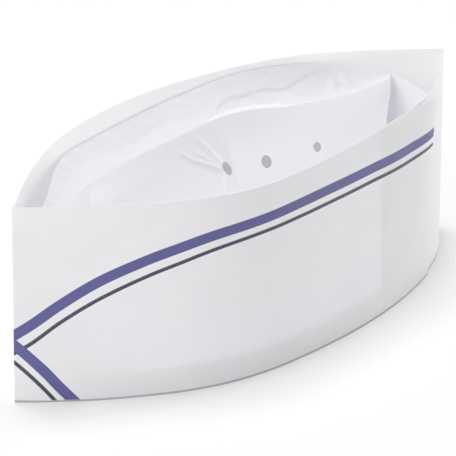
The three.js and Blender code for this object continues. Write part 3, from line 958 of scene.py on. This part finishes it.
def add_maths(tree, operation, first, second):
    """A maths node whose inputs are sockets or numbers."""
    node = add_node(tree, "ShaderNodeMath", operation=operation)
    for socket, value in zip(node.inputs, (first, second)):
        if isinstance(value, (int, float)):
            socket.default_value = value
        else:
            tree.links.new(value, socket)
    return node.outputs[0]


def fibre_bump(tree, shader, scale, depth):
    """Fine fibres as a bump on a shader. Gives the coordinates that they lie in."""
    place = add_node(tree, "ShaderNodeTexCoord").outputs["Object"]
    fine = add_node(tree, "ShaderNodeTexNoise")
    fine.inputs["Scale"].default_value = scale
    fine.inputs["Detail"].default_value = FIBRE_DETAIL
    tree.links.new(place, fine.inputs["Vector"])
    bump = add_node(tree, "ShaderNodeBump")
    bump.inputs["Strength"].default_value = FIBRE_STRENGTH
    bump.inputs["Distance"].default_value = depth
    tree.links.new(fine.outputs["Fac"], bump.inputs["Height"])
    tree.links.new(bump.outputs["Normal"], shader.inputs["Normal"])
    return place


def paper_colour(tree, place, low, high):
    """A faint cloudy colour variation between two colours."""
    cloud = add_node(tree, "ShaderNodeTexNoise")
    cloud.inputs["Scale"].default_value = CLOUD_SCALE
    cloud.inputs["Detail"].default_value = CLOUD_DETAIL
    tree.links.new(place, cloud.inputs["Vector"])
    ramp = add_node(tree, "ShaderNodeValToRGB")
    for element, position, colour in zip(ramp.color_ramp.elements, CLOUD_SPREAD, (low, high)):
        element.position = position
        element.color = (*colour, 1)
    tree.links.new(cloud.outputs["Fac"], ramp.inputs["Fac"])
    return ramp.outputs["Color"]


def stripe_mask(tree, name, width):
    """1 inside a printed stripe and 0 outside it."""
    offset = add_node(tree, "ShaderNodeAttribute", attribute_name=name).outputs["Fac"]
    distance = add_maths(tree, "ABSOLUTE", offset, 0)
    edge = add_node(tree, "ShaderNodeMapRange", interpolation_type="SMOOTHSTEP")
    edge.inputs["From Min"].default_value = (width + STRIPE_EDGE) / 2
    edge.inputs["From Max"].default_value = (width - STRIPE_EDGE) / 2
    tree.links.new(distance, edge.inputs["Value"])
    return edge.outputs["Result"]


def plain_paper(paper):
    """An unprinted paper, from its row of settings."""
    material, shader = new_material(paper)
    tree = material.node_tree
    place = fibre_bump(tree, shader, paper["fibres"], paper["fibre_depth"])
    colour = paper_colour(tree, place, *paper["whites"])
    tree.links.new(colour, shader.inputs["Base Color"])
    return material


def rim_painted_shade_mask(tree):
    """1 on the lowest edge of the cuff, fading to 0 just above: painted shade for the contact shadow at the
    floor.
    """
    place = add_node(tree, "ShaderNodeTexCoord").outputs["Object"]
    split = add_node(tree, "ShaderNodeSeparateXYZ")
    fade = add_node(tree, "ShaderNodeMapRange", interpolation_type="SMOOTHSTEP")
    fade.inputs["From Min"].default_value = RIM_PAINTED_SHADE_FULL
    fade.inputs["From Max"].default_value = RIM_PAINTED_SHADE_END
    fade.inputs["To Min"].default_value = 1
    fade.inputs["To Max"].default_value = 0
    tree.links.new(place, split.inputs[0])
    tree.links.new(split.outputs["Z"], fade.inputs["Value"])
    return fade.outputs["Result"]


def colour_over(tree, colour, ink, mask):
    """A flat colour laid over another where a mask is 1."""
    layer = add_node(tree, "ShaderNodeMix", data_type="RGBA")
    layer.inputs["B"].default_value = (*ink, 1)
    tree.links.new(mask, layer.inputs["Factor"])
    tree.links.new(colour, layer.inputs["A"])
    return layer.outputs["Result"]


def printed_paper(paper):
    """A paper with the stripes of both sides printed on it, and painted shade along its rim for the contact
    shadow at the floor.
    """
    material = plain_paper(paper)
    tree = material.node_tree
    base_colour = tree.nodes["Principled BSDF"].inputs["Base Color"]
    colour = base_colour.links[0].from_socket
    # The ink attribute is 1 except on the flap, where its lower values are painted sheen
    strength = add_node(tree, "ShaderNodeAttribute", attribute_name="ink").outputs["Fac"]
    for kind, width, ink in (("thin", THIN_STRIPE, THIN_BLUE), ("wide", WIDE_STRIPE, WIDE_BLUE)):
        near = stripe_mask(tree, "near_" + kind, width)
        far = stripe_mask(tree, "far_" + kind, width)
        mask = add_maths(tree, "MAXIMUM", near, far)
        mask = add_maths(tree, "MULTIPLY", mask, strength)
        colour = colour_over(tree, colour, ink, mask)
    # Painted shade: a grey along the rim stands for the contact shadow where the cuff meets the floor
    colour = colour_over(tree, colour, RIM_PAINTED_SHADE, rim_painted_shade_mask(tree))
    tree.links.new(colour, base_colour)
    return material


# Stage, lights and camera
def make_floor():
    bpy.ops.mesh.primitive_plane_add(size=FLOOR_SIZE)
    floor = bpy.context.active_object
    floor.name = "floor"
    material = bpy.data.materials.new("floor white")
    material.use_nodes = True
    tree = material.node_tree
    tree.nodes.clear()
    matt = add_node(tree, "ShaderNodeBsdfDiffuse")
    matt.inputs["Color"].default_value = (*FLOOR_WHITE, 1)
    glow = add_node(tree, "ShaderNodeEmission")
    glow.inputs["Strength"].default_value = FLOOR_GLOW
    both = add_node(tree, "ShaderNodeAddShader")
    out = add_node(tree, "ShaderNodeOutputMaterial")
    tree.links.new(matt.outputs[0], both.inputs[0])
    tree.links.new(glow.outputs[0], both.inputs[1])
    tree.links.new(both.outputs[0], out.inputs["Surface"])
    floor.data.materials.append(material)


def make_world():
    world = bpy.data.worlds.new("studio")
    world.use_nodes = True
    background = world.node_tree.nodes["Background"]
    background.inputs["Color"].default_value = (1, 1, 1, 1)
    background.inputs["Strength"].default_value = WORLD_GLOW
    bpy.context.scene.world = world


def add_light(name, place, size, power):
    """A square soft light that points at the middle of the hat."""
    data = bpy.data.lights.new(name, "AREA")
    data.shape = "SQUARE"
    data.size = size
    data.energy = power
    light = bpy.data.objects.new(name, data)
    bpy.context.scene.collection.objects.link(light)
    light.location = place
    aim = Vector((0, 0, CUFF_HEIGHT / 2)) - Vector(place)
    light.rotation_mode = "QUATERNION"
    light.rotation_quaternion = aim.to_track_quat("-Z", "Y")


def make_camera():
    data = bpy.data.cameras.new("camera")
    data.lens = CAMERA_LENS
    data.sensor_width = CAMERA_SENSOR
    camera = bpy.data.objects.new("camera", data)
    bpy.context.scene.collection.objects.link(camera)
    camera.location = CAMERA_PLACE
    camera.rotation_euler = (math.pi / 2 - CAMERA_PITCH, 0, -CAMERA_HEADING)
    bpy.context.scene.camera = camera


bpy.context.scene.view_settings.view_transform = "Standard"
bpy.context.scene.view_settings.gamma = GAMMA
bpy.context.scene.cycles.max_bounces = MAX_BOUNCES
bpy.context.scene.cycles.diffuse_bounces = DIFFUSE_BOUNCES
make_camera()
make_floor()
make_world()
for row in LIGHTS:
    add_light(**row)

cuff_inner = plain_paper(PAPERS["inner"])
crown_paper = plain_paper(PAPERS["crown"])
tissue_paper = plain_paper(PAPERS["tissue"])
make_cuff((printed_paper(PAPERS["printed"]), cuff_inner))
make_far_crown((crown_paper, crown_paper))
make_near_crown((crown_paper, crown_paper))
tissue = make_tissue((tissue_paper, tissue_paper))
